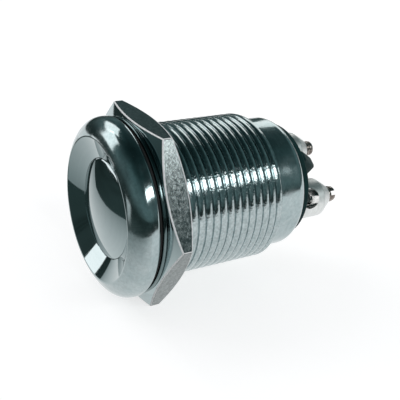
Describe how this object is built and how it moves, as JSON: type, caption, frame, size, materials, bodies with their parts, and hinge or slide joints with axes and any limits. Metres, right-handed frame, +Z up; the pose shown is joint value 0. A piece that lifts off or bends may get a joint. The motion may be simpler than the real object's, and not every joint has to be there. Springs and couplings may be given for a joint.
{
  "type": "pushbutton switch",
  "caption": "Panel-mount metal pushbutton switch with a dished round bezel, domed button, threaded barrel, hexagon nut and rear pillar terminals with clamp screws.",
  "frame": {"origin": "on the switch's axis, in the plane of the panel's front face, under the bezel", "axes": "+Y along the axis from the button to the terminals, so the button faces -Y; +Z up as pictured"},
  "size_m": [0.0252, 0.0344, 0.0232],
  "materials": {
    "bright_nickel": "polished",
    "milled_nickel": "satin",
    "terminal_nickel": "satin",
    "screw_steel": "satin",
    "spring_steel": "satin",
    "contact_brass": "satin",
    "contact_silver": "satin",
    "black_plastic": "satin",
    "pale_plastic": "satin",
    "black_rubber": "matte"
  },
  "bodies": {
    "switch_body": {"housing": "bright_nickel", "panel_gasket": "black_rubber", "panel_washer": "bright_nickel", "panel_nut": "milled_nickel", "return_spring": "spring_steel", "base": "black_plastic", "barrier": "black_plastic", "base_seal": "black_rubber", "terminal_1": "terminal_nickel", "terminal_2": "terminal_nickel", "clamp_screw_1": "screw_steel", "clamp_screw_2": "screw_steel", "fixed_contact_1": "contact_silver", "fixed_contact_2": "contact_silver"},
    "push_button": {"button": "bright_nickel", "button_seal": "black_rubber", "plunger": "pale_plastic", "contact_spring": "spring_steel", "disc_clip": "spring_steel"},
    "moving_contact": {"contact_disc": "contact_brass"}
  },
  "joints": [
    {"name": "press", "type": "slide", "parent": "switch_body", "child": "push_button", "axis": [0, 1, 0], "range_m": [0, 0.002], "stiffness_N_per_m": 1000, "springref_m": -0.003, "deforming": ["return_spring"]},
    {"name": "contact_lag", "type": "slide", "parent": "push_button", "child": "moving_contact", "axis": [0, 1, 0], "range_m": [-0.0005, 0], "deforming": ["contact_spring"]}
  ],
  "couplings": [
    {"joint": "contact_lag", "follows": "press", "ratio": -0.25}
  ]
}
